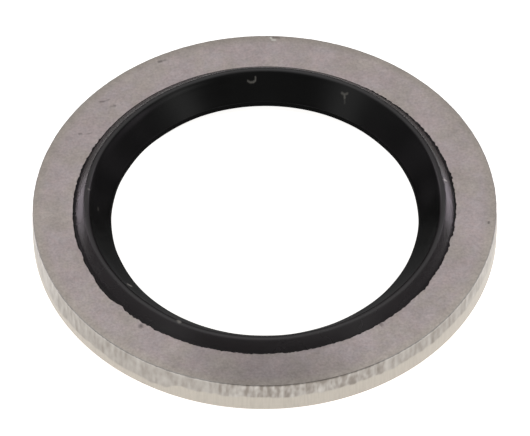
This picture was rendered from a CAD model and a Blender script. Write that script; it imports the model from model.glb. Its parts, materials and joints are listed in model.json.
import json
import math

import bmesh
import bpy
from bpy.props import FloatProperty, FloatVectorProperty, IntProperty, PointerProperty
from mathutils import Matrix, Vector, geometry, noise


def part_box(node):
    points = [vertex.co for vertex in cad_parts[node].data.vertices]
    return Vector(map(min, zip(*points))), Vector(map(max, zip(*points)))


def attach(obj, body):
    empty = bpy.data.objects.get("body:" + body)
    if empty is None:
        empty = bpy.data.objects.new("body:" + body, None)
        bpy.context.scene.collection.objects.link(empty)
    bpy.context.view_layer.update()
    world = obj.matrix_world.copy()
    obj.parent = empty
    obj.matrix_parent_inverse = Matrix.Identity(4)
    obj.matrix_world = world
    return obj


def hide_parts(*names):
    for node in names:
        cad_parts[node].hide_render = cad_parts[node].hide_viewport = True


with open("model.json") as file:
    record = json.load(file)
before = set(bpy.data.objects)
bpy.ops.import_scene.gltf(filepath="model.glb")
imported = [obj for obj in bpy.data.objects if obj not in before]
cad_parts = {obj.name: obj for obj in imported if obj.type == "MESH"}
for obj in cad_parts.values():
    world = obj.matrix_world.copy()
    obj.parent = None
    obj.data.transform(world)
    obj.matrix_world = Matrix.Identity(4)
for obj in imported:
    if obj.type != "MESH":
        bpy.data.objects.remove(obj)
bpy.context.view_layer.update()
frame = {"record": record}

bl_info = {
    "name": "Bonded Sealing Washer",
    "version": (1, 0, 0),
    "blender": (4, 5, 0),
    "location": "3D View > Sidebar > Washer",
    "description": "A blanked steel ring with a moulded rubber seal bonded round its bore",
    "category": "Add Mesh",
}

MM = 0.001
MICRON = 0.000001

RING_LOW, RING_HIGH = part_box("steel_ring")
SEAL_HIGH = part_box("rubber_seal")[1]
BORE = next(m for m in frame["record"]["mounts"] if m["name"] == "bore")
MIDDLE = (RING_LOW.z + RING_HIGH.z) / 2
# Half the thickness of the steel sheet
HALF_SHEET = 0.5 * MM


def linear(hex_colour):
    """Turn an sRGB hex colour into the linear colour that Blender works in."""
    parts = [int(hex_colour[i : i + 2], 16) / 255 for i in (1, 3, 5)]
    return tuple(p / 12.92 if p <= 0.04045 else ((p + 0.055) / 1.055) ** 2.4 for p in parts)


def length(name, description, default):
    return FloatProperty(
        name=name,
        description=description,
        default=default,
        min=0,
        precision=6,
        subtype="DISTANCE",
        unit="LENGTH",
    )


def angle(name, description, degrees):
    return FloatProperty(
        name=name,
        description=description,
        default=math.radians(degrees),
        subtype="ANGLE",
        unit="ROTATION",
    )


def glow(name, description, default):
    return FloatProperty(name=name, description=description, default=default, min=0)


def spin_steps(default):
    return IntProperty(
        name="Columns",
        description="Steps of the spin round the axis",
        default=default,
        min=96,
        max=1500,
    )


def colour(name, description, hex_colour):
    return FloatVectorProperty(
        name=name,
        description=description,
        default=linear(hex_colour),
        min=0,
        max=1,
        size=3,
        subtype="COLOR",
    )


class RingSettings(bpy.types.PropertyGroup):
    """Sizes and colours of the steel ring."""

    rim_radius: length("Rim radius", "From the bore's axis to the burnished rim", RING_HIGH.x)
    rollover: length("Rollover", "Lower corner that the punch drew in", 0.02 * MM)
    shoulder: length("Shoulder", "Width of the tumbled slope along the upper edge", 0.24 * MM)
    shoulder_drop: length("Shoulder drop", "How far that slope falls", 0.016 * MM)
    burr_rounding: length("Burr rounding", "Upper edge, tumbled smooth", 0.025 * MM)
    torn_height: length("Torn height", "Upper band of the rim, where the sheet broke away", 0.50 * MM)
    torn_lean: length("Torn lean", "How far the break leans in at its top", 0.012 * MM)
    torn_depth: length("Torn depth", "Depth of the pits in the break", 0.012 * MM)
    columns: spin_steps(1040)
    skin: colour("Skin", "Dull plated skin of the faces", "#e2d7d8")
    flush: colour("Flush", "Pinker skin, in small clouds", "#e7d6d5")
    tarnish: colour("Tarnish", "Yellower skin, in clouds and towards the rim", "#dcd3c6")
    burnish: colour("Burnish", "Sheared land of the rim, rubbed bright", "#b5afa6")
    tear: colour("Tear", "Grey floor of the torn band", "#908982")
    bare: colour("Bare", "Bright flakes in the torn band", "#c4c0bb")
    rub: colour("Rub", "Bright spots where the skin is rubbed through", "#fffdf6")
    soil: colour("Soil", "Dirt in nicks and scratches", "#55504d")


class SealSettings(bpy.types.PropertyGroup):
    """Sizes and colours of the rubber seal."""

    bore_radius: length(
        "Bore radius", "Nose of the seal, which centres the washer", BORE["dims"]["r_mm"] * MM
    )
    nose_width: length("Nose width", "Height of the nose's land before it is rounded", 0.14 * MM)
    nose_rounding: length("Nose rounding", "Corners of the nose", 0.08 * MM)
    lip_radius: length("Lip radius", "From the bore's axis to the crest of each lip", 4.98 * MM)
    lip_rounding: length("Lip rounding", "Radius of the crest", 0.12 * MM)
    swell: length("Swell", "How far the outer slope of a lip swells", 0.008 * MM)
    foot_radius: length(
        "Foot radius", "Where the lip's outer slope is level with the steel's face", 5.288 * MM
    )
    bond_radius: length("Bond radius", "Steel's bore, where the rubber is bonded", 5.30 * MM)
    bond_edge: length(
        "Bond edge", "Where the rubber ends, at the top of the steel's broken corner", 5.328 * MM
    )
    bond_ragged: length("Bond raggedness", "How far that edge strays", 0.016 * MM)
    film: length("Film", "Skin of rubber on the steel's broken corner", 0.004 * MM)
    columns: spin_steps(1040)
    black: colour("Black", "Carbon black in the rubber", "#070706")
    bloom: colour("Bloom", "Dusty bloom on the outer slope of each lip", "#282325")
    scuff: colour("Scuff", "Pale scuffs and specks of dust", "#b8b4ac")


class StageSettings(bpy.types.PropertyGroup):
    """The lit table, the soft lights and the camera."""

    floor_size: length("Floor size", "Half the width of the table", 1.5)
    floor_white: colour("Floor", "Opal sheet of the table", "#f4f3f1")
    floor_glow: glow("Floor glow", "Light from under the sheet", 1.05)
    edge_glow: glow("Edge glow", "Light from under the sheet's edges", 3.1)
    tube_glow: glow("Tube glow", "Light from the two tubes under the sheet", 6.0)
    tube_tint: colour("Tube tint", "Their colour through the sheet", "#fff0ff")
    card_radius: length("Card radius", "Grey card inside the bore, out of the camera's sight", 4.75 * MM)
    card_grey: colour("Card grey", "Its grey", "#7c7c7c")
    camera_distance: length("Camera distance", "From the washer's middle to the camera", 0.2)
    camera_height: angle("Camera height", "Angle of the camera above the floor", 49.1)
    camera_roll: angle("Camera roll", "Turn of the camera about its own line of sight", -0.64)
    lens: FloatProperty(
        name="Lens", description="Focal length in millimetres", default=485.5, min=1, unit="CAMERA"
    )


# Meshes


def smoothstep(low, high, value):
    share = min(max((value - low) / (high - low), 0.0), 1.0)
    return share * share * (3 - 2 * share)


def along_stretch(turn, first, last, fade_in, fade_out):
    """Share of a stretch of the turn, from 0 outside it to 1, with soft ends inside it."""
    return smoothstep(first, first + fade_in, turn) * (1 - smoothstep(last - fade_out, last, turn))


def near_place(turn, centre, half_width, core):
    """Share of a place on the turn, from 1 over its core to 0. The core is a share of its half width."""
    return 1 - smoothstep(core * half_width, (core + 1) * half_width, abs(turn - centre))


# Steps along the axis of noise that set one pattern apart from the next
PATTERN_GAP = 17.3


def noise_round(around, radius, pattern, width, level=0.0, height=MM):
    """Noise from about -1 to 1 that closes on itself round the axis, where its grains have this width.

    Their height runs along the axis. Each pattern number gives another noise.
    """
    x = radius * math.cos(around) / width
    y = radius * math.sin(around) / width
    return 2 * noise.noise(Vector((x, y, level / height + PATTERN_GAP * pattern)))


# A spin of many steps is slow, so part of the turn is spun and then doubled this many times.
DOUBLINGS = 4
# Points nearer than this are one.
MERGE_DISTANCE = 0.5 * MICRON


def spun_section(corners, pitch, columns):
    """Round a section's corners, divide its edges and spin it round the axis.

    corners are (radius, level, tangent length, segments), and pitch gives the row spacing at a point.
    """
    bm = bmesh.new()
    points = [bm.verts.new((radius, 0, level)) for radius, level, _, _ in corners]
    bm.faces.new(points)
    for point, (_, _, tangent, segments) in zip(points, corners):
        if tangent:
            bmesh.ops.bevel(
                bm,
                geom=[point],
                offset=tangent,
                offset_type="OFFSET",
                segments=segments,
                profile=0.5,
                affect="VERTICES",
                material=-1,
            )
    bmesh.ops.delete(bm, geom=bm.faces[:], context="FACES_ONLY")
    for edge in bm.edges[:]:
        middle = (edge.verts[0].co + edge.verts[1].co) / 2
        cuts = math.ceil(edge.calc_length() / pitch(middle.x, middle.z)) - 1
        if cuts > 0:
            bmesh.ops.subdivide_edges(bm, edges=[edge], cuts=cuts)
    turn = 2 * math.pi / 2**DOUBLINGS
    bmesh.ops.spin(
        bm,
        geom=bm.verts[:] + bm.edges[:],
        cent=(0, 0, 0),
        axis=(0, 0, 1),
        dvec=(0, 0, 0),
        angle=turn,
        steps=columns // 2**DOUBLINGS,
    )
    for doubling in range(DOUBLINGS):
        copy = bmesh.ops.duplicate(bm, geom=bm.verts[:] + bm.edges[:] + bm.faces[:])["geom"]
        copied = [part for part in copy if isinstance(part, bmesh.types.BMVert)]
        onward = Matrix.Rotation(turn * 2**doubling, 3, "Z")
        bmesh.ops.rotate(bm, verts=copied, cent=(0, 0, 0), matrix=onward)
    bmesh.ops.remove_doubles(bm, verts=bm.verts[:], dist=MERGE_DISTANCE)
    return bm


def polar(vert):
    """Radius, level and angle of a point, and which side of the middle plane it is on, 1 or -1."""
    radius = math.hypot(vert.co.x, vert.co.y)
    side = math.copysign(1, vert.co.z - MIDDLE)
    return radius, vert.co.z, math.atan2(vert.co.y, vert.co.x), side


def move_out(vert, radius, reach):
    """Move a point from one radius to another."""
    vert.co.x *= reach / radius
    vert.co.y *= reach / radius


# Edges that turn more than this stay crisp.
CRISP_TURN = math.radians(28)


def finish_piece(bm, name, node, material, layers):
    """Make the piece's object, and write the layers' values to its points for the material to read."""
    bmesh.ops.recalc_face_normals(bm, faces=bm.faces[:])
    for face in bm.faces:
        face.smooth = True
    for edge in bm.edges:
        edge.smooth = edge.calc_face_angle(0) < CRISP_TURN
    mesh = bpy.data.meshes.new(name)
    bm.to_mesh(mesh)
    bm.free()
    for layer, values in layers.items():
        mesh.attributes.new(layer, "FLOAT", "POINT").data.foreach_set("value", values)
    piece = bpy.data.objects.new(name, mesh)
    bpy.context.scene.collection.objects.link(piece)
    mesh.materials.append(material)
    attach(piece, "root")
    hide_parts(node)
    return piece


# Stretches of the rim: first and last angle, and how far its ends fade in and out inside them, in degrees.
# Over one the break reaches further down, over one its flakes stand out, and over one it is bright all over.
DEEP_TEAR = (184, 249, 14, 5)
FLAKED = (254, 303, 12, 12)
BRIGHT = (320, 580, 24, 24)
DEEP_TEAR_HEIGHT = 0.23 * MM
# The bright stretch runs on past a full turn, so angles up to this one are counted in the next turn.
BRIGHT_SEAM = 270
# How far the break's lower line strays, and over what width: slowly, and with a fine fray
TEAR_WANDER = (0.035 * MM, 1.3 * MM)
TEAR_FRAY = (0.03 * MM, 0.22 * MM)
# Width and height of the break's streaks, and the strength of the fine ones beside the coarse
COARSE_STREAK = (0.12 * MM, 0.5 * MM)
FINE_STREAK = (0.06 * MM, 0.16 * MM)
FINE_SHARE = 0.5
# Tone of the break, contrast of its streaks and how much brighter its top is, each followed by what the
# flaked stretch adds to it; and what the bright stretch adds to the tone
BREAK_TONE = (0.45, -0.06)
BREAK_CONTRAST = (0.2, 0.25)
BREAK_TOP = (0.5, -0.9)
BRIGHT_TONE = 0.4


def tear_line(around, ring):
    """Level at which the sheared land ends and the break starts."""
    deep = along_stretch(math.degrees(around) % 360, *DEEP_TEAR)
    wander = TEAR_WANDER[0] * noise_round(around, ring.rim_radius, 1, TEAR_WANDER[1])
    fray = TEAR_FRAY[0] * noise_round(around, ring.rim_radius, 2, TEAR_FRAY[1])
    return RING_HIGH.z - ring.torn_height - DEEP_TEAR_HEIGHT * deep + wander + fray


def tear_streak(around, level, ring):
    """Upright streaks of the break, with finer ones over them."""
    coarse = noise_round(around, ring.rim_radius, 3, COARSE_STREAK[0], level, COARSE_STREAK[1])
    fine = noise_round(around, ring.rim_radius, 4, FINE_STREAK[0], level, FINE_STREAK[1])
    return coarse + FINE_SHARE * fine


def flake_tone(turn, streak, top):
    """Tone of a point of the break, from its dark floor, 0, to a bare bright flake, 1.

    Towards the top it is darker among the flakes, and rubbed brighter elsewhere.
    """
    flaked = along_stretch(turn, *FLAKED)
    bright = along_stretch(turn if turn > BRIGHT_SEAM else turn + 360, *BRIGHT)
    tone = BREAK_TONE[0] + BREAK_TONE[1] * flaked + BRIGHT_TONE * bright
    contrast = BREAK_CONTRAST[0] + BREAK_CONTRAST[1] * flaked
    rubbed = top * (BREAK_TOP[0] + BREAK_TOP[1] * flaked)
    return min(max(tone + contrast * streak + rubbed, 0), 1)


# Places where the bond's edge is torn back or runs out over the steel: angle and half width in degrees, and
# reach. The middle of each, this share of its half width, has its full reach.
BREAK_CORE = 0.4
BOND_BREAKS = (
    (346, 1.3, -0.055 * MM),
    (222, 1.6, -0.042 * MM),
    (214, 4.5, 0.038 * MM),
    (198, 2.0, -0.038 * MM),
    (102, 1.6, 0.035 * MM),
    (326, 2.0, 0.03 * MM),
    (12, 1.4, 0.026 * MM),
)
# Width of the edge's fine strays, and of the coarse ones with their strength beside the fine
FINE_RAG = 0.085 * MM
COARSE_RAG = 0.35 * MM
COARSE_RAG_SHARE = 0.35
# Over one stretch, angle and half width in degrees, only this share of the fine ones is left.
CALM_BOND = (196, 14)
CALM_SHARE = 0.4
# Least width of the bond over the steel's broken corner
BOND_LEAST = 0.004 * MM
# The bond's edge is slightly out of round: off centre, then oval.
BOND_SHIFT = (-0.009 * MM, -0.032 * MM)
BOND_OVAL = (0.030 * MM, 0.025 * MM)
# The lower side has its breaks elsewhere, this far round in radians.
LOWER_BOND_TURN = 1.4
# The steel's bore and the seal in it sit this far off the rim's centre.
BORE_SHIFT = Vector((0.003 * MM, -0.023 * MM, 0))


def bond_edge(around, side, seal):
    """Radius of the ragged line where the rubber ends and the steel's face starts, on one side."""
    if side < 0:
        around += LOWER_BOND_TURN
    turn = math.degrees(around) % 360
    edge = seal.bond_edge + BOND_SHIFT[0] * math.cos(around) + BOND_SHIFT[1] * math.sin(around)
    edge += BOND_OVAL[0] * math.cos(2 * around) + BOND_OVAL[1] * math.sin(2 * around)
    fine = CALM_SHARE + (1 - CALM_SHARE) * (1 - near_place(turn, *CALM_BOND, core=1))
    edge += fine * seal.bond_ragged * noise_round(around, seal.bond_edge, 7, FINE_RAG)
    edge += COARSE_RAG_SHARE * seal.bond_ragged * noise_round(around, seal.bond_edge, 8, COARSE_RAG)
    for centre, half_width, reach in BOND_BREAKS:
        edge += reach * near_place(turn, centre, half_width, BREAK_CORE)
    return max(edge, seal.bond_radius + BOND_LEAST)


# Row spacing of the ring: on its rim, over its upper edge, and on its faces, with the width of the first two
RIM_PITCH = 0.033 * MM
UPPER_EDGE_PITCH = 0.03 * MM
FACE_PITCH = 0.25 * MM
RIM_BAND = 0.01 * MM
UPPER_EDGE_BAND = 0.2 * MM
SHOULDER_ROUNDING = 0.08 * MM
# The break's shape fades in over these distances from the rim, and over these heights about its lower line.
RIM_FADE = (0.09 * MM, 0.03 * MM)
TEAR_FADE = (0.03 * MM, 0.04 * MM)
# Under the upper face the rim is rubbed over this height, and leans in all round over this one.
RUBBED_HEIGHT = 0.10 * MM
LEANING_HEIGHT = 0.05 * MM
# The pits of the break are this much shallower at its top.
PIT_FADE = 0.7
# The upper edge is uneven by this much, over this width.
EDGE_WAVE = (0.004 * MM, 0.3 * MM)
# The ring is true to the rim's centre over this distance from the rim.
CENTRED_RIM = 0.3 * MM


def build_ring(ring, seal):
    """Spin the ring's section, tear its rim, and shape its bore to the ragged bond."""
    low, high = RING_LOW.z, RING_HIGH.z
    chamfer = seal.bond_edge - seal.bond_radius
    shoulder_radius = ring.rim_radius - ring.torn_lean - ring.shoulder
    corners = [
        (seal.bond_radius, low, chamfer, 1),
        (ring.rim_radius, low, ring.rollover, 8),
        (ring.rim_radius, high - ring.shoulder_drop, ring.burr_rounding, 4),
        (shoulder_radius, high, SHOULDER_ROUNDING, 4),
        (seal.bond_radius, high, chamfer, 1),
    ]

    def pitch(radius, level):
        if radius > ring.rim_radius - RIM_BAND:
            return RIM_PITCH
        if radius > ring.rim_radius - UPPER_EDGE_BAND and level > MIDDLE:
            return UPPER_EDGE_PITCH
        return FACE_PITCH

    bm = spun_section(corners, pitch, ring.columns)
    torn, flake = [], []
    for vert in bm.verts:
        radius, level, around, side = polar(vert)
        line = tear_line(around, ring)
        streak = tear_streak(around, level, ring)
        on_rim = smoothstep(ring.rim_radius - RIM_FADE[0], ring.rim_radius - RIM_FADE[1], radius)
        share = smoothstep(line - TEAR_FADE[0], line + TEAR_FADE[1], level) * on_rim
        top = smoothstep(high - RUBBED_HEIGHT, high, level)

        lean = ring.torn_lean * min(max((level - line) / (high - line), 0), 1)
        lean *= (share if level < high - LEANING_HEIGHT else 1) * on_rim
        pit = ring.torn_depth * (0.5 + 0.5 * streak) * share * (1 - PIT_FADE * top)
        wave = EDGE_WAVE[0] * noise_round(around, ring.rim_radius, 6, EDGE_WAVE[1]) * top
        reach = radius - lean - max(pit, 0) - max(wave, 0)
        if radius < seal.bond_edge + MICRON:
            edge = bond_edge(around, side, seal)
            if radius > seal.bond_edge - MICRON:
                reach = edge
            else:
                vert.co.z += side * (chamfer - (edge - seal.bond_radius))
        move_out(vert, radius, reach)
        vert.co += BORE_SHIFT * (1 - smoothstep(seal.bond_edge, ring.rim_radius - CENTRED_RIM, radius))
        torn.append(share)
        flake.append(flake_tone(math.degrees(around) % 360, streak, top))
    layers = {"torn": torn, "flake": flake}
    return finish_piece(bm, "steel_ring_body", "steel_ring", plated_steel(ring), layers)


def tangent_from(start, centre, radius, side):
    """Direction of the line that leaves start and touches the circle on one side."""
    to_centre = centre - start
    swing = side * math.asin(radius / to_centre.length)
    return Matrix.Rotation(swing, 2) @ to_centre.normalized()


# The bevel of the crest stands this much prouder than a true arc.
CREST_EASE = 0.004 * MM
# The film of rubber on the steel stands this proud at its edge, where it is sunk into the steel this far and
# runs back to the bonded wall at this depth, out of sight.
FILM_EDGE = 0.002 * MM
FILM_SUNK = 0.004 * MM
FILM_BACK = 0.16 * MM
# Tangent lengths of the valley at the lip's foot, and of the nose's corners as a share of their rounding
VALLEY_ROUNDING = 0.004 * MM
NOSE_TANGENT = 0.65
# Points this far from the middle plane, outside the crest, belong to the outer slope and the bond; those that
# follow the bond's ragged edge start this far inside the valley.
BOND_LEVEL = 0.44 * MM
BOND_START = 0.005 * MM
# Row spacing of the seal: at its ragged bond, elsewhere, and on the wall that the steel hides
BOND_PITCH = 0.009 * MM
SEAL_PITCH = 0.06 * MM
HIDDEN_PITCH = MM
# Heights above the steel's face between which the crest starts, and the lip starts to lean
CREST_HEIGHTS = (0.15 * MM, 0.25 * MM)
LEAN_HEIGHTS = (0.06 * MM, 0.26 * MM)
# Stretches where the crest of the lips leans towards the axis: angle and half width in degrees, reach. The
# middle of each, this share of its half width, leans in full.
LEAN_CORE = 0.5
LIP_LEANS = (
    (127, 22, 0.038 * MM),
    (219, 14, 0.025 * MM),
    (300, 24, 0.016 * MM),
)
# The outer slope is at about half a right angle, so a swell goes this share out and this share up.
DIAGONAL = 0.7
# The crest is wavy: how far, over what width, and how far apart the two lips are in the noise
CREST_WAVE = (0.005 * MM, 0.9 * MM)
LIP_GAP = 5 * MM
# The nose is a little out of round: oval, then wavy, and both fade out over these distances from the bore.
NOSE_OVAL = (-0.006 * MM, -0.004 * MM)
NOSE_WAVE = (0.008 * MM, 1.1 * MM)
NOSE_FADE = (0.1 * MM, 0.5 * MM)


def build_seal(seal):
    """Spin a section of two lips, each with a cone and a slope tangent to its crest, and work in its flaws."""
    foot = Vector((seal.foot_radius, RING_HIGH.z))
    nose = Vector((seal.bore_radius, MIDDLE + seal.nose_width / 2))
    lip = Vector((seal.lip_radius, SEAL_HIGH.z - seal.lip_rounding - CREST_EASE))
    outer = tangent_from(foot, lip, seal.lip_rounding, -1)
    inner = tangent_from(nose, lip, seal.lip_rounding, 1)
    apex = geometry.intersect_line_line(
        foot.to_3d(), (foot + outer).to_3d(), nose.to_3d(), (nose + inner).to_3d()
    )[0].to_2d()
    tangent = math.sqrt((apex - lip).length_squared - seal.lip_rounding**2)
    fall = (apex.y - foot.y) / (foot.x - apex.x)

    def valley(edge):
        """Where the film on the steel's broken corner, ending at one radius, meets the lip's slope."""
        radius = (edge - seal.film + fall * foot.x) / (1 + fall)
        return Vector((radius, foot.y - fall * (radius - foot.x)))

    mean_valley = valley(seal.bond_edge)
    # From the wall that is bonded to the steel, over the film's edge and the lip, to the nose
    upper = [
        (seal.bond_radius, RING_HIGH.z - FILM_BACK, 0, 0),
        (seal.bond_edge + MICRON, RING_HIGH.z - FILM_SUNK, 0, 0),
        (seal.bond_edge, RING_HIGH.z + FILM_EDGE, 0, 0),
        (mean_valley.x, mean_valley.y, VALLEY_ROUNDING, 2),
        (apex.x, apex.y, tangent, 12),
        (nose.x, nose.y, NOSE_TANGENT * seal.nose_rounding, 6),
    ]
    lower = [(radius, 2 * MIDDLE - level, size, count) for radius, level, size, count in upper]

    def pitch(radius, level):
        if radius > mean_valley.x and abs(level - MIDDLE) > BOND_LEVEL:
            return BOND_PITCH
        return SEAL_PITCH if radius < seal.bond_radius - MICRON else HIDDEN_PITCH

    bm = spun_section(upper + lower[::-1], pitch, seal.columns)
    for vert in bm.verts:
        radius, level, around, side = polar(vert)
        turn = math.degrees(around) % 360
        height = abs(level - MIDDLE)
        reach = radius
        if radius > mean_valley.x - BOND_START and height > BOND_LEVEL:
            edge = bond_edge(around, side, seal)
            here = valley(edge)
            share = (radius - mean_valley.x) / (seal.bond_edge - mean_valley.x)
            if share < 0:
                reach += here.x - mean_valley.x
            else:
                reach = here.x + share * (edge - here.x)
            vert.co.z += side * (here.y - mean_valley.y) * (1 - min(max(share, 0), 1))
        lifted = smoothstep(*LEAN_HEIGHTS, height - HALF_SHEET)
        for centre, half_width, lean in LIP_LEANS:
            reach -= lean * lifted * near_place(turn, centre, half_width, LEAN_CORE)
        climb = (radius - seal.lip_radius) / (mean_valley.x - seal.lip_radius)
        if 0 < climb < 1 and height > BOND_LEVEL:
            swell = seal.swell * math.sin(math.pi * climb)
            reach += DIAGONAL * swell
            vert.co.z += side * DIAGONAL * swell
        crest = smoothstep(*CREST_HEIGHTS, height - HALF_SHEET)
        wave = noise_round(around, seal.lip_radius, 9, CREST_WAVE[1], side * LIP_GAP)
        reach += CREST_WAVE[0] * crest * wave
        bore = 1 - smoothstep(*NOSE_FADE, radius - seal.bore_radius)
        oval = NOSE_OVAL[0] * math.cos(2 * around) + NOSE_OVAL[1] * math.sin(2 * around)
        wave = noise_round(around, seal.bore_radius, 10, NOSE_WAVE[1])
        reach += bore * (oval + NOSE_WAVE[0] * wave)
        move_out(vert, radius, reach)
        vert.co += BORE_SHIFT
    return finish_piece(bm, "rubber_seal_body", "rubber_seal", nitrile_rubber(seal), {})


# Materials


def add_node(tree, kind, inputs=None, **settings):
    """Add a node. An input is a value, or the socket or node that feeds it.

    Inputs go by name or place among the sockets in use, and a node feeds from its first output in use.
    """
    node = tree.nodes.new(kind)
    for name, value in settings.items():
        setattr(node, name, value)
    sockets = [socket for socket in node.inputs if socket.enabled]
    for place, value in (inputs or {}).items():
        socket = next(s for i, s in enumerate(sockets) if place in (i, s.name))
        if isinstance(value, bpy.types.Node):
            value = next(output for output in value.outputs if output.enabled)
        if isinstance(value, bpy.types.NodeSocket):
            tree.links.new(value, socket)
        else:
            socket.default_value = value
    return node


def new_material(name):
    material = bpy.data.materials.new(name)
    material.use_nodes = True
    material.node_tree.nodes.clear()
    return material, material.node_tree


def rgba(rgb):
    return (*rgb, 1.0)


def strokes(tree, flat, places):
    """Mask of small marks in plan, each a soft stroke between two points."""
    mask = None
    for start, end, width, strength in places:
        begin, stop = (
            Vector((radius * math.cos(math.radians(turn)), radius * math.sin(math.radians(turn)), 0))
            for turn, radius in (start, end)
        )
        along = stop - begin
        offset = add_node(tree, "ShaderNodeVectorMath", {0: flat, 1: begin}, operation="SUBTRACT")
        if along.length:
            scaled = along / along.length_squared
            share = add_node(tree, "ShaderNodeVectorMath", {0: offset, 1: scaled}, operation="DOT_PRODUCT")
            share = add_node(tree, "ShaderNodeMath", {0: share, 1: 0.0}, operation="ADD", use_clamp=True)
            passed = add_node(tree, "ShaderNodeVectorMath", {0: along, "Scale": share}, operation="SCALE")
            offset = add_node(tree, "ShaderNodeVectorMath", {0: offset, 1: passed}, operation="SUBTRACT")
        away = add_node(tree, "ShaderNodeVectorMath", {0: offset}, operation="LENGTH")
        mark = add_node(
            tree,
            "ShaderNodeMapRange",
            {"Value": away, "From Max": width, "To Min": strength, "To Max": 0.0},
            interpolation_type="SMOOTHSTEP",
        )
        if mask:
            mark = add_node(tree, "ShaderNodeMath", {0: mask, 1: mark}, operation="MAXIMUM")
        mask = mark
    return mask


def on_upper_side(tree, place, mask):
    """Keep a mask to the upper half of a piece."""
    level = add_node(tree, "ShaderNodeSeparateXYZ", {0: place}).outputs["Z"]
    upper = add_node(tree, "ShaderNodeMath", {0: level, 1: MIDDLE}, operation="GREATER_THAN")
    return add_node(tree, "ShaderNodeMath", {0: mask, 1: upper}, operation="MULTIPLY")


# Marks on the upper side, each a stroke: where it starts and ends, as angle in degrees and radius, then its
# width to nothing and its strength
RING_NICKS = (
    ((118.2, 6.25 * MM), (117.6, 6.24 * MM), 0.075 * MM, 0.6),
    ((117.6, 6.24 * MM), (116.6, 6.23 * MM), 0.055 * MM, 0.4),
    ((139.0, 6.11 * MM), (138.3, 6.04 * MM), 0.065 * MM, 0.5),
    ((138.3, 6.04 * MM), (136.9, 5.98 * MM), 0.050 * MM, 0.3),
    ((137.6, 5.72 * MM), (137.4, 5.70 * MM), 0.070 * MM, 0.45),
    ((138.5, 5.77 * MM), (137.6, 5.72 * MM), 0.050 * MM, 0.3),
    ((151.7, 5.90 * MM), (151.4, 5.86 * MM), 0.065 * MM, 0.5),
    ((150.8, 5.71 * MM), (149.7, 5.62 * MM), 0.050 * MM, 0.3),
    ((231.2, 5.49 * MM), (231.4, 5.52 * MM), 0.110 * MM, 0.6),
    ((354.1, 6.28 * MM), (353.6, 6.28 * MM), 0.055 * MM, 0.6),
    ((87.4, 6.42 * MM), (85.8, 6.40 * MM), 0.055 * MM, 0.5),
)
# Small places beside them where the steel is rubbed bare
RING_RUBS = (
    ((87.8, 6.37 * MM), (87.9, 6.40 * MM), 0.060 * MM, 0.9),
    ((87.5, 6.31 * MM), (86.8, 6.31 * MM), 0.060 * MM, 0.9),
)
# A broad stain along the near side
DULL_PATCHES = (
    ((266, 6.3 * MM), (276, 6.3 * MM), 3.1 * MM, 0.40),
)
# Scuffs and specks on the rubber
SEAL_SCUFFS = (
    ((95.3, 4.71 * MM), (94.5, 4.68 * MM), 0.040 * MM, 0.40),
    ((94.5, 4.68 * MM), (93.4, 4.68 * MM), 0.040 * MM, 0.45),
    ((93.4, 4.68 * MM), (92.7, 4.71 * MM), 0.040 * MM, 0.50),
    ((92.7, 4.71 * MM), (92.6, 4.77 * MM), 0.040 * MM, 0.45),
    ((62.0, 4.73 * MM), (60.9, 4.72 * MM), 0.045 * MM, 0.35),
    ((60.9, 4.72 * MM), (60.0, 4.76 * MM), 0.045 * MM, 0.35),
    ((60.9, 4.72 * MM), (60.4, 4.66 * MM), 0.050 * MM, 0.40),
    ((60.4, 4.66 * MM), (59.8, 4.57 * MM), 0.040 * MM, 0.15),
    ((8.4, 5.12 * MM), (8.4, 5.12 * MM), 0.075 * MM, 1.0),
    ((216.7, 4.72 * MM), (217.1, 4.68 * MM), 0.085 * MM, 1.0),
    ((241.1, 4.96 * MM), (241.6, 4.99 * MM), 0.085 * MM, 0.55),
    ((174.2, 4.93 * MM), (174.2, 4.93 * MM), 0.060 * MM, 0.4),
    ((179.2, 4.65 * MM), (180.3, 4.65 * MM), 0.050 * MM, 0.1),
)

# Sizes of the steel's patterns: yellow clouds, dull clouds, pink clouds, the grain of the plating and the
# upright lines that the die drew in the land, which are longer than they are wide. The last two are finer in
# the real steel, and drawn this coarse so that they show.
STEEL_CLOUD = 1.1 * MM
STEEL_MATTING = 0.8 * MM
STEEL_FLUSH = 0.5 * MM
PLATING_GRAIN = 0.07 * MM
DRAWN_LINES = 0.05 * MM
DRAWN_STRETCH = (1, 1, 0.08)
# Radii between which the skin turns yellower towards the rim
YELLOWED = (6.05 * MM, 6.42 * MM)
# Distances inside the rim between which the skin of the face gives way to the rim's
RIM_SKIN = (0.06 * MM, 0.035 * MM)
# Depth of the plating's grain
PLATING_RELIEF = 4 * MICRON


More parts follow.
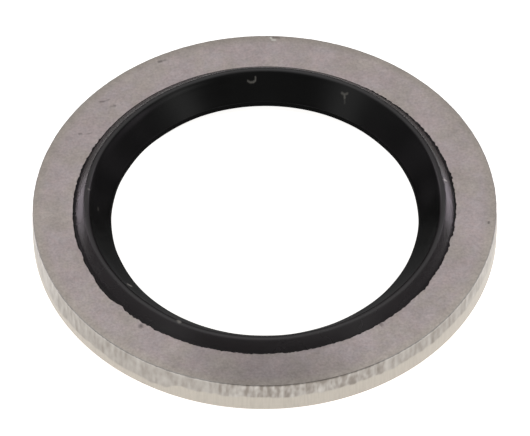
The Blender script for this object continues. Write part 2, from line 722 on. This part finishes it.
def plated_steel(ring):
    """Mild steel sheet, blanked, tumbled and zinc plated.

    It is matt and warm grey on its faces, creamy where the die rubbed the rim, and grey with brighter flakes
    where the sheet broke.
    """
    material, tree = new_material("tumbled_zinc_plated_steel")
    place = add_node(tree, "ShaderNodeTexCoord").outputs["Object"]
    flat = add_node(tree, "ShaderNodeVectorMath", {0: place, 1: (1, 1, 0)}, operation="MULTIPLY")
    reach = add_node(tree, "ShaderNodeVectorMath", {0: flat}, operation="LENGTH")
    torn = add_node(tree, "ShaderNodeAttribute", attribute_name="torn").outputs["Fac"]
    flake = add_node(tree, "ShaderNodeAttribute", attribute_name="flake").outputs["Fac"]
    soil = rgba(ring.soil)

    # The face's skin: pink and yellow clouds, then dull clouds, grain and the stain
    flush = add_node(
        tree,
        "ShaderNodeTexNoise",
        {"Vector": place, "Scale": 1 / STEEL_FLUSH, "Detail": 5, "Roughness": 0.85, "Distortion": 0.4},
    )
    pink = add_node(tree, "ShaderNodeMapRange", {"Value": flush, "From Min": 0.35, "From Max": 0.65})
    skin = add_node(
        tree, "ShaderNodeMix", {0: pink, "A": rgba(ring.skin), "B": rgba(ring.flush)}, data_type="RGBA"
    )
    cloud = add_node(
        tree,
        "ShaderNodeTexNoise",
        {"Vector": place, "Scale": 1 / STEEL_CLOUD, "Detail": 3, "Roughness": 0.7},
    )
    clouded = add_node(
        tree,
        "ShaderNodeMapRange",
        {"Value": cloud, "From Min": 0.4, "From Max": 0.65, "To Max": 0.5},
        interpolation_type="SMOOTHSTEP",
    )
    outermost = add_node(
        tree,
        "ShaderNodeMapRange",
        {"Value": reach, "From Min": YELLOWED[0], "From Max": YELLOWED[1], "To Max": 0.7},
        interpolation_type="SMOOTHSTEP",
    )
    yellow = add_node(tree, "ShaderNodeMath", {0: clouded, 1: outermost}, operation="MAXIMUM")
    skin = add_node(tree, "ShaderNodeMix", {0: yellow, "A": skin, "B": rgba(ring.tarnish)}, data_type="RGBA")
    matting = add_node(
        tree,
        "ShaderNodeTexNoise",
        {"Vector": place, "Scale": 1 / STEEL_MATTING, "Detail": 5, "Roughness": 0.9},
    )
    dull = add_node(
        tree, "ShaderNodeMapRange", {"Value": matting, "From Min": 0.3, "From Max": 0.7, "To Max": 0.3}
    )
    skin = add_node(tree, "ShaderNodeMix", {0: dull, "A": skin, "B": soil}, data_type="RGBA")
    speckle = add_node(tree, "ShaderNodeTexNoise", {"Vector": place, "Scale": 1 / PLATING_GRAIN})
    dirt = add_node(
        tree, "ShaderNodeMapRange", {"Value": speckle, "From Min": 0.3, "From Max": 0.7, "To Max": 0.12}
    )
    skin = add_node(tree, "ShaderNodeMix", {0: dirt, "A": skin, "B": soil}, data_type="RGBA")
    stain = strokes(tree, flat, DULL_PATCHES)
    skin = add_node(tree, "ShaderNodeMix", {0: stain, "A": skin, "B": soil}, data_type="RGBA")

    # The rim: the land with its drawn lines, and the break with its flakes
    upright = add_node(tree, "ShaderNodeMapping", {"Vector": place, "Scale": DRAWN_STRETCH})
    streaks = add_node(tree, "ShaderNodeTexNoise", {"Vector": upright, "Scale": 1 / DRAWN_LINES})
    drawn = add_node(
        tree,
        "ShaderNodeMapRange",
        {"Value": streaks, "From Min": 0.35, "From Max": 0.7, "To Max": 0.2},
        interpolation_type="SMOOTHSTEP",
    )
    land = add_node(
        tree, "ShaderNodeMix", {0: drawn, "A": rgba(ring.burnish), "B": rgba(ring.tear)}, data_type="RGBA"
    )
    broken = add_node(
        tree, "ShaderNodeMix", {0: flake, "A": rgba(ring.tear), "B": rgba(ring.bare)}, data_type="RGBA"
    )
    rim = add_node(tree, "ShaderNodeMix", {0: torn, "A": land, "B": broken}, data_type="RGBA")
    on_rim = add_node(
        tree,
        "ShaderNodeMapRange",
        {
            "Value": reach,
            "From Min": ring.rim_radius - RIM_SKIN[0],
            "From Max": ring.rim_radius - RIM_SKIN[1],
        },
        interpolation_type="SMOOTHSTEP",
    )
    finish = add_node(tree, "ShaderNodeMix", {0: on_rim, "A": skin, "B": rim}, data_type="RGBA")
    rubs = on_upper_side(tree, place, strokes(tree, flat, RING_RUBS))
    finish = add_node(tree, "ShaderNodeMix", {0: rubs, "A": finish, "B": rgba(ring.rub)}, data_type="RGBA")
    nicks = on_upper_side(tree, place, strokes(tree, flat, RING_NICKS))
    finish = add_node(tree, "ShaderNodeMix", {0: nicks, "A": finish, "B": soil}, data_type="RGBA")

    # Matt plating, the break rougher than the land, and nicks that are sunk a little
    face_matt = add_node(
        tree,
        "ShaderNodeMapRange",
        {"Value": speckle, "From Min": 0.3, "From Max": 0.7, "To Min": 0.40, "To Max": 0.52},
        interpolation_type="SMOOTHSTEP",
    )
    rim_matt = add_node(
        tree,
        "ShaderNodeMapRange",
        {"Value": torn, "To Min": 0.36, "To Max": 0.55},
        interpolation_type="SMOOTHSTEP",
    )
    roughness = add_node(tree, "ShaderNodeMix", {0: on_rim, "A": face_matt, "B": rim_matt})
    height = add_node(tree, "ShaderNodeMath", {0: speckle, 1: nicks}, operation="SUBTRACT")
    relief = add_node(
        tree, "ShaderNodeBump", {"Strength": 0.6, "Distance": PLATING_RELIEF, "Height": height}
    )
    metal = add_node(
        tree,
        "ShaderNodeBsdfPrincipled",
        {"Base Color": finish, "Metallic": 1.0, "Roughness": roughness, "Normal": relief},
    )
    add_node(tree, "ShaderNodeOutputMaterial", {"Surface": metal})
    return material


# Sizes of the rubber's patterns: clouds of bloom, and the orange peel of the mould, drawn coarser than it is
# so that it shows
RUBBER_CLOUD = 0.9 * MM
MOULD_PEEL = 0.09 * MM
MOULD_RELIEF = 2 * MICRON
# Distances inside the crest between which the smooth inner cone gives way to the hazy outer slope
HAZE_STARTS = (0.12 * MM, 0.02 * MM)


def nitrile_rubber(seal):
    """Nitrile rubber, compression moulded.

    It is black and smooth inside the bore, and hazy with a dusty bloom on the outer slope of each lip, with a
    sheen that runs round it and a few pale scuffs and specks.
    """
    material, tree = new_material("moulded_nitrile_rubber")
    place = add_node(tree, "ShaderNodeTexCoord").outputs["Object"]
    flat = add_node(tree, "ShaderNodeVectorMath", {0: place, 1: (1, 1, 0)}, operation="MULTIPLY")
    reach = add_node(tree, "ShaderNodeVectorMath", {0: flat}, operation="LENGTH")
    outer = add_node(
        tree,
        "ShaderNodeMapRange",
        {
            "Value": reach,
            "From Min": seal.lip_radius - HAZE_STARTS[0],
            "From Max": seal.lip_radius - HAZE_STARTS[1],
        },
        interpolation_type="SMOOTHSTEP",
    )
    base = add_node(
        tree, "ShaderNodeMix", {0: outer, "A": rgba(seal.black), "B": rgba(seal.bloom)}, data_type="RGBA"
    )
    scuffs = on_upper_side(tree, place, strokes(tree, flat, SEAL_SCUFFS))
    base = add_node(tree, "ShaderNodeMix", {0: scuffs, "A": base, "B": rgba(seal.scuff)}, data_type="RGBA")
    cloud = add_node(
        tree, "ShaderNodeTexNoise", {"Vector": place, "Scale": 1 / RUBBER_CLOUD, "Detail": 3}
    )
    inner_satin = add_node(
        tree,
        "ShaderNodeMapRange",
        {"Value": cloud, "From Min": 0.3, "From Max": 0.7, "To Min": 0.16, "To Max": 0.20},
        interpolation_type="SMOOTHSTEP",
    )
    outer_satin = add_node(
        tree,
        "ShaderNodeMapRange",
        {"Value": cloud, "From Min": 0.3, "From Max": 0.7, "To Min": 0.24, "To Max": 0.28},
        interpolation_type="SMOOTHSTEP",
    )
    satin = add_node(tree, "ShaderNodeMix", {0: outer, "A": inner_satin, "B": outer_satin})
    peel = add_node(tree, "ShaderNodeTexNoise", {"Vector": place, "Scale": 1 / MOULD_PEEL})
    relief = add_node(tree, "ShaderNodeBump", {"Strength": 0.3, "Distance": MOULD_RELIEF, "Height": peel})
    round_axis = add_node(tree, "ShaderNodeTangent", direction_type="RADIAL", axis="Z")
    rubber = add_node(
        tree,
        "ShaderNodeBsdfPrincipled",
        {
            "Base Color": base,
            "Roughness": satin,
            "IOR": 1.58,
            "Anisotropic": 0.8,
            "Anisotropic Rotation": 0.25,
            "Tangent": round_axis,
            "Normal": relief,
        },
    )
    add_node(tree, "ShaderNodeOutputMaterial", {"Surface": rubber})
    return material


# Two tubes run out under the sheet at this turn from straight behind the washer, one to each side, and shine
# over this spread. Their light, and the edges', sets in over these distances from the middle.
TUBE_TURN = math.radians(54)
TUBE_SPREAD = math.radians(13)
TUBE_START = (16 * MM, 26 * MM)
EDGE_START = (20 * MM, 35 * MM)


def opal_sheet(stage):
    """Opal acrylic, lit from under and more strongly towards its edges: an even white that hides shadows."""
    material, tree = new_material("lit_opal_acrylic")
    place = add_node(tree, "ShaderNodeTexCoord").outputs["Object"]
    away = add_node(tree, "ShaderNodeVectorMath", {0: place}, operation="LENGTH")
    outwards = add_node(tree, "ShaderNodeVectorMath", {0: place}, operation="NORMALIZE")
    tint, tube_tint = rgba(stage.floor_white), rgba(stage.tube_tint)
    light = add_node(
        tree,
        "ShaderNodeMapRange",
        {
            "Value": away,
            "From Min": EDGE_START[0],
            "From Max": EDGE_START[1],
            "To Min": stage.floor_glow,
            "To Max": stage.edge_glow,
        },
        interpolation_type="SMOOTHSTEP",
    )
    beyond = add_node(
        tree,
        "ShaderNodeMapRange",
        {"Value": away, "From Min": TUBE_START[0], "From Max": TUBE_START[1]},
        interpolation_type="SMOOTHSTEP",
    )
    for side in (-1, 1):
        run = Vector((side * math.sin(TUBE_TURN), math.cos(TUBE_TURN), 0))
        facing = add_node(tree, "ShaderNodeVectorMath", {0: outwards, 1: run}, operation="DOT_PRODUCT")
        lit = add_node(
            tree,
            "ShaderNodeMapRange",
            {"Value": facing, "From Min": math.cos(TUBE_SPREAD)},
            interpolation_type="SMOOTHSTEP",
        )
        lit = add_node(tree, "ShaderNodeMath", {0: lit, 1: beyond}, operation="MULTIPLY")
        tint = add_node(tree, "ShaderNodeMix", {0: lit, "A": tint, "B": tube_tint}, data_type="RGBA")
        lit = add_node(tree, "ShaderNodeMath", {0: lit, 1: stage.tube_glow}, operation="MULTIPLY")
        light = add_node(tree, "ShaderNodeMath", {0: light, 1: lit}, operation="ADD")
    acrylic = add_node(
        tree,
        "ShaderNodeBsdfPrincipled",
        {
            "Base Color": rgba(stage.floor_white),
            "Roughness": 0.6,
            "Emission Color": tint,
            "Emission Strength": light,
        },
    )
    add_node(tree, "ShaderNodeOutputMaterial", {"Surface": acrylic})
    return material


def grey_card(stage):
    """Dark grey card: dull, and keeps the sheet's light off the wall of the bore."""
    material, tree = new_material("dark_grey_card")
    card = add_node(
        tree, "ShaderNodeBsdfPrincipled", {"Base Color": rgba(stage.card_grey), "Roughness": 0.9}
    )
    add_node(tree, "ShaderNodeOutputMaterial", {"Surface": card})
    return material


# Stage

WHITE = "#ffffff"
PINKISH = "#fff5ff"
# Soft lights far off: turn from straight behind the washer, height, spread, strength, tint. One that is
# neither behind nor in front stands on both sides.
SOFT_LIGHTS = (
    (0, 0, 40, 0.36, WHITE),
    (80, 0, 40, 0.34, PINKISH),
    (105, 0, 40, 0.66, PINKISH),
    (130, 0, 40, 1.0, WHITE),
    (155, 0, 40, 0.65, WHITE),
    (180, 0, 40, 0.30, WHITE),
    (180, 20, 30, 0.11, WHITE),
    (50, 14, 100, 0.4, PINKISH),
    (50, 30, 60, 1.3, PINKISH),
    (128, 28, 60, 0.3, WHITE),
    (0, 40, 14, 0.12, WHITE),
    (90, 40, 14, 0.04, WHITE),
    (0, 55, 10, 0.31, WHITE),
    (60, 55, 10, 0.41, WHITE),
    (120, 55, 10, 0.17, WHITE),
    (0, 75, 8, 0.12, WHITE),
    (0, 90, 4, 0.42, WHITE),
)


def soft_room():
    """A room with broad soft light overhead, behind and low down on both sides, and a dark front."""
    world = bpy.data.worlds.new("soft_room")
    world.use_nodes = True
    tree = world.node_tree
    tree.nodes.clear()
    outlook = add_node(tree, "ShaderNodeTexCoord").outputs["Generated"]
    mirrored = [(-turn, *rest) for turn, *rest in SOFT_LIGHTS if turn not in (0, 180)]
    total = None
    for turn, height, spread, strength, tint in (*SOFT_LIGHTS, *mirrored):
        turn, height = math.radians(turn), math.radians(height)
        level = math.cos(height)
        towards = (-math.sin(turn) * level, math.cos(turn) * level, math.sin(height))
        facing = add_node(tree, "ShaderNodeVectorMath", {0: outlook, 1: towards}, operation="DOT_PRODUCT")
        facing = add_node(tree, "ShaderNodeMath", {0: facing, 1: 0.0}, operation="MAXIMUM")
        lobe = add_node(tree, "ShaderNodeMath", {0: facing, 1: spread}, operation="POWER")
        shade = Vector(linear(tint)) * strength
        light = add_node(tree, "ShaderNodeVectorMath", {0: shade, "Scale": lobe}, operation="SCALE")
        if total:
            light = add_node(tree, "ShaderNodeVectorMath", {0: total, 1: light}, operation="ADD")
        total = light
    background = add_node(tree, "ShaderNodeBackground", {"Color": total})
    add_node(tree, "ShaderNodeOutputWorld", {"Surface": background})
    return world


# The card lies just over the sheet, inside the seal's bore.
CARD_LEVEL = 0.02 * MM
# What the camera looks at, from the middle of the washer
AIM = Vector((0.009 * MM, 0, 0.02 * MM))


def lay_out(name, bm, material):
    """Make a piece of the stage, which is no part of the washer."""
    mesh = bpy.data.meshes.new(name)
    bm.to_mesh(mesh)
    bm.free()
    mesh.materials.append(material)
    piece = bpy.data.objects.new(name, mesh)
    bpy.context.scene.collection.objects.link(piece)
    return piece


def build_stage(stage):
    """Lay the lit sheet and the card, and set up the room and the camera."""
    scene = bpy.context.scene
    scene.view_settings.view_transform = "Standard"
    scene.world = soft_room()

    bm = bmesh.new()
    bmesh.ops.create_grid(bm, x_segments=1, y_segments=1, size=stage.floor_size)
    lay_out("floor", bm, opal_sheet(stage))
    bm = bmesh.new()
    bmesh.ops.create_circle(bm, cap_ends=True, segments=96, radius=stage.card_radius)
    bmesh.ops.translate(bm, verts=bm.verts[:], vec=(0, 0, CARD_LEVEL))
    lay_out("card", bm, grey_card(stage)).visible_camera = False

    camera = bpy.data.objects.new("camera", bpy.data.cameras.new("camera"))
    scene.collection.objects.link(camera)
    camera.data.lens = stage.lens
    camera.data.clip_start, camera.data.clip_end = 0.01, 10
    target = Vector((0, 0, MIDDLE)) + AIM
    back = Vector((0, -math.cos(stage.camera_height), math.sin(stage.camera_height)))
    turned = (-back).to_track_quat("-Z", "Y").to_matrix() @ Matrix.Rotation(stage.camera_roll, 3, "Z")
    camera.matrix_world = Matrix.Translation(target + back * stage.camera_distance) @ turned.to_4x4()
    scene.camera = camera


# Operators


class WASHER_OT_stage(bpy.types.Operator):
    """Lay out the lit table, the soft lights and the camera"""

    bl_idname = "washer.stage"
    bl_label = "Stage"

    def execute(self, context):
        build_stage(context.scene.washer_stage)
        return {"FINISHED"}


class WASHER_OT_steel_ring(bpy.types.Operator):
    """Spin the blanked steel ring, with its rollover, sheared land and torn band"""

    bl_idname = "washer.steel_ring"
    bl_label = "Steel ring"

    def execute(self, context):
        build_ring(context.scene.washer_ring, context.scene.washer_seal)
        return {"FINISHED"}


class WASHER_OT_rubber_seal(bpy.types.Operator):
    """Spin the rubber seal, with a lip on each face and its ragged bond"""

    bl_idname = "washer.rubber_seal"
    bl_label = "Rubber seal"

    def execute(self, context):
        build_seal(context.scene.washer_seal)
        return {"FINISHED"}


class WASHER_PT_sidebar(bpy.types.Panel):
    """Sizes and colours of the washer and its stage, and the buttons that make them"""

    bl_idname = "WASHER_PT_sidebar"
    bl_label = "Bonded Sealing Washer"
    bl_space_type = "VIEW_3D"
    bl_region_type = "UI"
    bl_category = "Washer"

    def draw(self, context):
        scene = context.scene
        for operator, settings in (
            (WASHER_OT_stage, scene.washer_stage),
            (WASHER_OT_steel_ring, scene.washer_ring),
            (WASHER_OT_rubber_seal, scene.washer_seal),
        ):
            box = self.layout.box()
            for name in settings.__annotations__:
                box.prop(settings, name)
            box.operator(operator.bl_idname)


SETTINGS = {"washer_ring": RingSettings, "washer_seal": SealSettings, "washer_stage": StageSettings}
OPERATORS = (WASHER_OT_stage, WASHER_OT_steel_ring, WASHER_OT_rubber_seal)
CLASSES = (*SETTINGS.values(), *OPERATORS, WASHER_PT_sidebar)


def register():
    for cls in CLASSES:
        bpy.utils.register_class(cls)
    for name, settings in SETTINGS.items():
        setattr(bpy.types.Scene, name, PointerProperty(type=settings))


def unregister():
    for name in SETTINGS:
        delattr(bpy.types.Scene, name)
    for cls in reversed(CLASSES):
        bpy.utils.unregister_class(cls)


def main():
    register()
    bpy.ops.washer.stage()
    bpy.ops.washer.steel_ring()
    bpy.ops.washer.rubber_seal()


if __name__ == "__main__":
    main()
